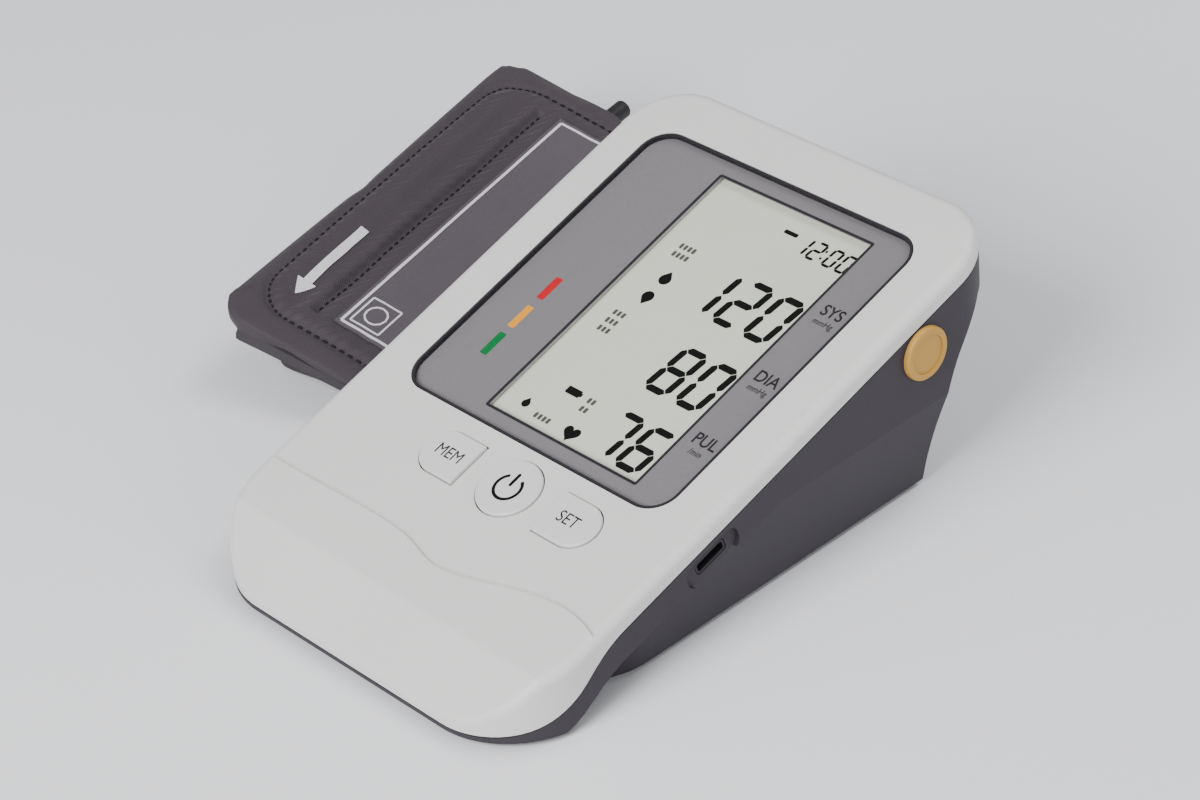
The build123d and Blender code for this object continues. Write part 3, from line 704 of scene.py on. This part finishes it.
def inflate(made, pressure, cap):
    """Runs a short cloth simulation and limits each point's travel."""
    start = [vertex.co.copy() for vertex in made.data.vertices]
    cloth = made.modifiers.new("swell", "CLOTH")
    cloth.settings.use_pressure = True
    cloth.settings.uniform_pressure_force = pressure
    cloth.settings.tension_stiffness = cloth.settings.compression_stiffness = CLOTH_STIFFNESS
    cloth.settings.bending_stiffness = 0.3
    cloth.settings.effector_weights.gravity = 0
    cloth.collision_settings.use_collision = False
    cloth.point_cache.frame_start, cloth.point_cache.frame_end = 1, CLOTH_FRAMES
    for number_of_frame in range(1, CLOTH_FRAMES + 1):
        bpy.context.scene.frame_set(number_of_frame)
    apply_modifiers(made)
    bpy.context.scene.frame_set(1)
    for vertex, first in zip(made.data.vertices, start):
        travel = vertex.co - first
        if travel.length > cap:
            vertex.co = first + travel.normalized() * cap


def soften(made, factor, repeat):
    """Rounds the remeshed edges."""
    smooth = made.modifiers.new("soften", "SMOOTH")
    smooth.factor, smooth.iterations = factor, repeat
    apply_modifiers(made)


def refine(made, levels):
    subdivide = made.modifiers.new("fine", "SUBSURF")
    subdivide.levels = subdivide.render_levels = levels
    apply_modifiers(made)
    for polygon in made.data.polygons:
        polygon.use_smooth = True


# %% [markdown]
# ## Seams and puckers
# After the swelling come the things that are smaller than a voxel: the sewn pocket line that runs round
# the top panel, a second line down its middle, and the puckers that a seam makes across itself.

# %% Seam lines of the top panel
POCKET = (4.0, CUFF_WIDE - 6.5, 8.5, CUFF_LONG - 8.0, 11.0)   # left and back limits, corner radius
MIDDLE_SEAM = 32.5
PATCH = (8.0, 27.0, 14.0, CUFF_LONG - 14.0)                   # right, left, near and far edge


def distance_to_pocket(left, back):
    """Signed distance from the rounded pocket line, positive inside."""
    low_left, high_left, low_back, high_back, corner = POCKET
    across = abs(left - (low_left + high_left) / 2) - (high_left - low_left) / 2 + corner
    along = abs(back - (low_back + high_back) / 2) - (high_back - low_back) / 2 + corner
    outside = math.hypot(max(across, 0), max(along, 0)) + min(max(across, along), 0) - corner
    return -outside


def groove(distance, width):
    return math.exp(-(distance / width) ** 2)


POCKET_DEPTH, MIDDLE_DEPTH = 1.15, 0.95       # how deep each seam pulls the cloth
PUCKER_HEIGHT, RIDGE_HEIGHT = 0.2, 0.35
WAVE_HEIGHT, CREASE_DEPTH = 0.9, 0.8
SEAM_END = 14                                 # the middle seam stops this far from each end


def top_relief(left, back):
    """Height in millimetres to add to the top panel."""
    pocket = distance_to_pocket(left, back)
    middle = left - MIDDLE_SEAM if SEAM_END < back < CUFF_LONG - SEAM_END else 40
    run = back if abs(left - CUFF_WIDE / 2) > 18 else left + back
    pucker = math.sin(run * 1.7 + 1.6 * math.sin(run * 0.31) + left * 0.5) * PUCKER_HEIGHT
    relief = -POCKET_DEPTH * groove(pocket, 1.3) - MIDDLE_DEPTH * groove(middle, 1.2)
    relief += pucker * (groove(pocket - 2.4, 2.0) + 0.3 * groove(pocket + 1.8, 1.2)
                        + groove(abs(middle) - 2.4, 2.0))
    wave = noise.noise(Vector((left * 0.07, back * 0.045, 3.1)))
    crease = abs(noise.noise(Vector((left * 0.16, back * 0.05, 8.4))))
    inside = min(max(pocket / 5, 0), 1)
    ridges = RIDGE_HEIGHT * math.sin(left * 0.95 + 1.5 * wave)
    relief += (WAVE_HEIGHT * wave - CREASE_DEPTH * crease + ridges) * inside
    from_patch = max(PATCH[0] - left, left - PATCH[1], PATCH[2] - back, back - PATCH[3])
    return relief * min(max((from_patch + 1.0) / 2.0, 0.12), 1)


def side_relief(point, seed):
    """Soft unevenness of a layer's sides."""
    return 0.45 * noise.noise(Vector((point.x * 60, point.y * 60, point.z * 90 + seed)))


def dress_point(place, normal, top, seed):
    """New place of a point: seams and puckers on the top panel, soft unevenness elsewhere."""
    facing = normal.dot(cuff_up)
    if top and facing > 0.3:
        moved = place + cuff_up * top_relief(*cuff_place(place)) * MM * min((facing - 0.3) / 0.4, 1)
    else:
        moved = place + normal * side_relief(place, seed) * MM
    return Vector((moved.x, moved.y, max(moved.z, 0.0002)))


# %% Make the three layers
SHRINK, SWELL_CAP = 0.0011, 0.0016     # how far a layer is drawn in first, and how far it may swell
layers = {}
for node, body, seed, pressure in (("cuff_lower_layer", "cuff", 1.0, 3.0),
                                   ("cuff_middle_layer", "cuff", 5.0, 3.0),
                                   ("cuff_top_layer", "cuff_flap", 9.0, 4.0)):
    layer = copy_layer(node, node + "_cloth", SHRINK)
    soften(layer, 0.5, 12)
    inflate(layer, pressure, SWELL_CAP)
    soften(layer, 0.5, 2)
    refine(layer, 2 if "top" in node else 1)
    top = "top" in node
    move_points(layer, lambda place, normal: dress_point(place, normal, top, seed))
    # The lower layers take the darker copy of the nylon, painted shade for the shadow under the top panel.
    layer.data.materials.append(nylon if top else nylon_painted_shade)
    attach(layer, body)
    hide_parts(node)
    layers[node] = layer
    print(layer.name, len(layer.data.vertices), "points")

# %% [markdown]
# ## The fold that the top panel opens about
# The top panel and the middle fold are one length of cloth, folded at the near end. A strip of cloth goes
# round that fold. It hangs on no body, so it does not move when the panel is lifted.

# %% The cloth round the fold
FOLD_SIDES = (7.0, CUFF_WIDE - 7.0)
FOLD_PATH = ((7.5, -0.40), (4.6, -0.38), (2.4, -0.26), (1.2, -0.06), (1.1, 0.16), (1.8, 0.36),
             (3.6, 0.46), (6.4, 0.48))        # (back in millimetres, height as a share of the fold's)
FOLD_THICK, FOLD_STEPS = 0.9, 28
CUFF_LOW, CUFF_RISE = 8.0, 0.27               # the stack's height at its near right corner, and its slope
fold_maker = bmesh.new()
fold_columns = []
for step in range(FOLD_STEPS + 1):
    left = FOLD_SIDES[0] + (FOLD_SIDES[1] - FOLD_SIDES[0]) * step / FOLD_STEPS
    fold_height = (CUFF_LOW + CUFF_RISE * left) / 3
    column = []
    for i, (back, share) in enumerate(FOLD_PATH):
        before, after = FOLD_PATH[max(i - 1, 0)], FOLD_PATH[min(i + 1, len(FOLD_PATH) - 1)]
        run = Vector((after[0] - before[0], (after[1] - before[1]) * fold_height)).normalized()
        for side in (0, FOLD_THICK):
            place = cuff_corner - cuff_axis * left / math.hypot(cuff_axis.x, cuff_axis.y) * MM
            place += cuff_back * (back + run.y * side) * MM
            place += cuff_up * (share * fold_height - run.x * side) * MM
            column.append(fold_maker.verts.new(place))
    fold_columns.append(column)
ring = list(range(0, 2 * len(FOLD_PATH), 2)) + list(range(2 * len(FOLD_PATH) - 1, 0, -2))
for first, second in zip(fold_columns, fold_columns[1:]):
    for i, j in zip(ring, ring[1:] + ring[:1]):
        fold_maker.faces.new((first[i], first[j], second[j], second[i]))
fold_maker.faces.new([fold_columns[0][i] for i in reversed(ring)])
fold_maker.faces.new([fold_columns[-1][i] for i in ring])
bmesh.ops.recalc_face_normals(fold_maker, faces=fold_maker.faces)
# The fold strip takes the darker copy of the nylon too, painted shade for the shadow at the fold.
fold_cloth = piece("cuff_fold_cloth", fold_maker, nylon_painted_shade, None)
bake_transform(fold_cloth)
print("fold strip:", len(fold_cloth.data.vertices), "points")

# %% [markdown]
# ## What is sewn and printed on the cuff
# Prints and stitches follow the cloth. A ray is dropped onto the panel for every point of a strip, so the
# strip lies in the puckers instead of floating over them.

# %% Drop points onto the top panel
top_cloth = layers["cuff_top_layer"]
top_tree = BVHTree.FromPolygons([v.co for v in top_cloth.data.vertices],
                                [p.vertices[:] for p in top_cloth.data.polygons])
DROP_HEIGHT = Vector((0, 0, 0.06))


def on_cuff(left, back, lift=0.0):
    """Point of the top panel under (left, back), lifted off the cloth by lift millimetres."""
    above = cuff_corner + cuff_left * left * MM + cuff_back * back * MM + DROP_HEIGHT
    hit, normal, _, _ = top_tree.ray_cast(above, Vector((0, 0, -1)))
    return hit + normal * lift * MM if hit else above - DROP_HEIGHT


def cloth_strip(maker, path, width, lift, thick=0.12):
    """Closed thin strip along a path of (left, back) points, square to its direction."""
    rows = []
    for i, (left, back) in enumerate(path):
        before, after = path[max(i - 1, 0)], path[min(i + 1, len(path) - 1)]
        run = Vector((after[0] - before[0], after[1] - before[1])).normalized()
        side = Vector((-run.y, run.x)) * width / 2
        ends = [(left + side.x, back + side.y), (left - side.x, back - side.y)]
        rows.append([maker.verts.new(on_cuff(*ends[0], lift)), maker.verts.new(on_cuff(*ends[1], lift)),
                     maker.verts.new(on_cuff(*ends[1], lift + thick)),
                     maker.verts.new(on_cuff(*ends[0], lift + thick))])
    for first, second in zip(rows, rows[1:]):
        for i in range(4):
            j = (i + 1) % 4
            maker.faces.new((first[i], first[j], second[j], second[i]))
    maker.faces.new(rows[0][::-1])
    maker.faces.new(rows[-1])


def straight(start, end, step=1.0):
    """Points from start to end, about a millimetre apart."""
    count = max(2, int(math.dist(start, end) / step))
    return [(start[0] + (end[0] - start[0]) * i / count, start[1] + (end[1] - start[1]) * i / count)
            for i in range(count + 1)]


# %% The smooth patch and its white outline
def cloth_sheet(maker, lefts, backs, lift, thick):
    """Closed thin sheet that follows the cloth over a grid of places."""
    grid = [[[maker.verts.new(on_cuff(left, back, lift + rise)) for rise in (0, thick)] for left in lefts]
            for back in backs]
    last_row, last_column = len(backs) - 1, len(lefts) - 1
    for i in range(last_row):
        for j in range(last_column):
            quad = (grid[i][j], grid[i][j + 1], grid[i + 1][j + 1], grid[i + 1][j])
            maker.faces.new([corner[1] for corner in quad])
            maker.faces.new([corner[0] for corner in reversed(quad)])
    rim = [(0, j) for j in range(last_column)] + [(i, last_column) for i in range(last_row)]
    rim += [(last_row, j) for j in range(last_column, 0, -1)] + [(i, 0) for i in range(last_row, 0, -1)]
    for (a, b), (c, d) in zip(rim, rim[1:] + rim[:1]):
        maker.faces.new((grid[a][b][0], grid[c][d][0], grid[c][d][1], grid[a][b][1]))
    bmesh.ops.recalc_face_normals(maker, faces=maker.faces)


patch = bmesh.new()
patch_columns = [left for left, _ in straight((PATCH[0], 0), (PATCH[1], 0), 1.5)]
patch_rows = [back for _, back in straight((0, PATCH[2]), (0, PATCH[3]), 1.5)]
cloth_sheet(patch, patch_columns, patch_rows, 0.05, 0.4)
patch_piece = piece("cuff_patch_cloth", patch, patch_nylon, "cuff_flap")
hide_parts("cuff_label_patch")
outline = bmesh.new()
inner = (PATCH[0] + 0.8, PATCH[1] - 1.2, PATCH[2] + 1.2, PATCH[3] - 1.4)
corners = [(inner[i], inner[j]) for i, j in ((0, 2), (1, 2), (1, 3), (0, 3), (0, 2))]
for start, end in zip(corners, corners[1:]):
    cloth_strip(outline, straight(start, end), 0.7, 0.5, 0.1)
box = (inner[1] - 9.5, inner[1] - 1.5, inner[2] + 1.5, inner[2] + 11.0)
box_corners = [(box[i], box[j]) for i, j in ((0, 2), (1, 2), (1, 3), (0, 3), (0, 2))]
for start, end in zip(box_corners, box_corners[1:]):
    cloth_strip(outline, straight(start, end), 0.5, 0.5, 0.1)
for turn in range(12):
    a, b = (math.radians(30 * (turn + step)) for step in (0, 1))
    centre = ((box[0] + box[1]) / 2, (box[2] + box[3]) / 2)
    cloth_strip(outline, straight((centre[0] + 2.6 * math.cos(a), centre[1] + 3.0 * math.sin(a)),
                                  (centre[0] + 2.6 * math.cos(b), centre[1] + 3.0 * math.sin(b)), 0.7),
                0.5, 0.5, 0.1)
piece("cuff_outline_print", outline, white_ink, "cuff_flap")

# %% The white arrow
ARROW_LEFT = 40.0
arrow = bmesh.new()
HEAD_END, HEAD_STEPS, HEAD_WIDTH = 21.0, 12, 5.0
cloth_strip(arrow, straight((ARROW_LEFT, HEAD_END), (ARROW_LEFT, 44.0)), 2.2, 0.2, 0.12)
for step in range(HEAD_STEPS):
    back = HEAD_END - 0.4 * step
    cloth_strip(arrow, [(ARROW_LEFT, back), (ARROW_LEFT, back - 0.42)],
                HEAD_WIDTH * (1 - step / HEAD_STEPS), 0.2, 0.12)
piece("cuff_arrow_print", arrow, white_ink, "cuff_flap")

# %% [markdown]
# ## Stitches
# A stitch is a short raised thread. They follow the pocket line and the middle line, a little over two
# millimetres apart.

# %% Stitches on the pocket and middle lines
STITCH_PITCH, THREAD_RADIUS = 2.3, 0.00026


def add_stitch(maker, start, end, radius):
    """Small six-sided thread from start to end that dips into the cloth at both ends."""
    run = end - start
    side = run.cross(cuff_up).normalized()
    rows = []
    for share, swell, rise in ((0, 0.35, -0.6), (0.25, 0.9, 0.5), (0.75, 0.9, 0.5), (1, 0.35, -0.6)):
        middle = start + run * share + cuff_up * radius * rise
        rows.append([maker.verts.new(middle + (side * math.cos(a) + cuff_up * math.sin(a)) * radius * swell)
                     for a in (math.pi * k / 3 for k in range(6))])
    for first, second in zip(rows, rows[1:]):
        for i in range(6):
            j = (i + 1) % 6
            maker.faces.new((first[i], first[j], second[j], second[i]))
    maker.faces.new(rows[0][::-1])
    maker.faces.new(rows[-1])


pocket_line = rounded(*POCKET, 10)
stitches = bmesh.new()
for line in (pocket_line + pocket_line[:1], [(MIDDLE_SEAM, 15.0), (MIDDLE_SEAM, CUFF_LONG - 15.0)]):
    for start, end in zip(line, line[1:]):
        length = math.dist(start, end)
        count = max(1, round(length / STITCH_PITCH))
        for i in range(count):
            a, b = (i + 0.15) / count, (i + 0.8) / count
            first = [start[k] + (end[k] - start[k]) * a for k in (0, 1)]
            last = [start[k] + (end[k] - start[k]) * b for k in (0, 1)]
            add_stitch(stitches, on_cuff(*first, 0.1), on_cuff(*last, 0.1), THREAD_RADIUS)
stitch_piece = piece("cuff_stitches", stitches, thread_finish, "cuff_flap")
print("stitch points:", len(stitch_piece.data.vertices))

# %% [markdown]
# ## Floor, light and camera
# A pale floor and three large, soft lights are enough for a plain studio picture. The camera looks down
# at the front right corner; its distance sets the perspective, and its lens is then chosen so that the
# object fills the frame.

# %% Floor
floor_mesh = bpy.data.meshes.new("floor")
floor_maker = bmesh.new()
bmesh.ops.create_grid(floor_maker, x_segments=1, y_segments=1, size=6.0)
floor_maker.to_mesh(floor_mesh)
floor_maker.free()
floor = bpy.data.objects.new("floor", floor_mesh)
floor.location.z = cad_box[0][2] - 0.0002
bpy.context.scene.collection.objects.link(floor)
floor_finish = Finish("floor_finish")
floor_finish.set(Base_Color=floor_finish.mix(floor_finish.noise(3, 2), rgb(232, 233, 236),
                                             rgb(228, 229, 232)), Roughness=0.9)
floor_mesh.materials.append(floor_finish.material)


# %% Lights
def softbox(name, place, aim, size, power):
    """Square area light that points at aim."""
    light = bpy.data.lights.new(name, "AREA")
    light.size, light.energy = size, power
    lamp = bpy.data.objects.new(name, light)
    lamp.location = place
    lamp.rotation_euler = (Vector(aim) - Vector(place)).to_track_quat("-Z", "Y").to_euler()
    bpy.context.scene.collection.objects.link(lamp)


softbox("key_light", (0.1, -1.0, 0.75), (0, 0, 0), 0.7, 22)
softbox("top_light", (0.25, 0.65, 1.1), (0, 0, 0.02), 0.7, 8)
softbox("side_light", (1.1, 0.2, 0.5), (0, 0, 0.03), 0.6, 4)
WORLD_STRENGTH = 0.47
world = bpy.data.worlds.new("studio")
world.use_nodes = True
world.node_tree.nodes["Background"].inputs["Color"].default_value = rgb(236, 238, 242)
world.node_tree.nodes["Background"].inputs["Strength"].default_value = WORLD_STRENGTH
bpy.context.scene.world = world


# %% Camera
CAMERA_PLACE = Vector((0.502, -0.421, 0.472))
ROLL, SENSOR = math.radians(-6), 36
FILL = 0.86
camera_data = bpy.data.cameras.new("camera")
camera = bpy.data.objects.new("camera", camera_data)
bpy.context.scene.collection.objects.link(camera)
bpy.context.scene.camera = camera
camera.location = CAMERA_PLACE
points = [o.matrix_world @ v.co for o in frame["nodes"].values() for v in list(o.data.vertices)[::5]]
target = sum(points, Vector()) / len(points)
for _ in range(4):
    turn = (target - CAMERA_PLACE).to_track_quat("-Z", "Y") @ Matrix.Rotation(ROLL, 3, "Z").to_quaternion()
    seen = [turn.inverted() @ (p - CAMERA_PLACE) for p in points]
    flat_x = [p.x / -p.z for p in seen]
    flat_y = [p.y / -p.z for p in seen]
    middle = Vector(((max(flat_x) + min(flat_x)) / 2, (max(flat_y) + min(flat_y)) / 2, -1))
    distance = (target - CAMERA_PLACE).length
    target = CAMERA_PLACE + (turn @ middle).normalized() * distance
camera.rotation_mode = "QUATERNION"
camera.rotation_quaternion = turn
spread = max((max(flat_x) - min(flat_x)) / 3, (max(flat_y) - min(flat_y)) / 2)
camera_data.sensor_width = SENSOR
camera_data.lens = camera_data.sensor_width * FILL / (3 * spread)
print("lens:", round(camera_data.lens, 1), "mm, spread", round(spread, 3))
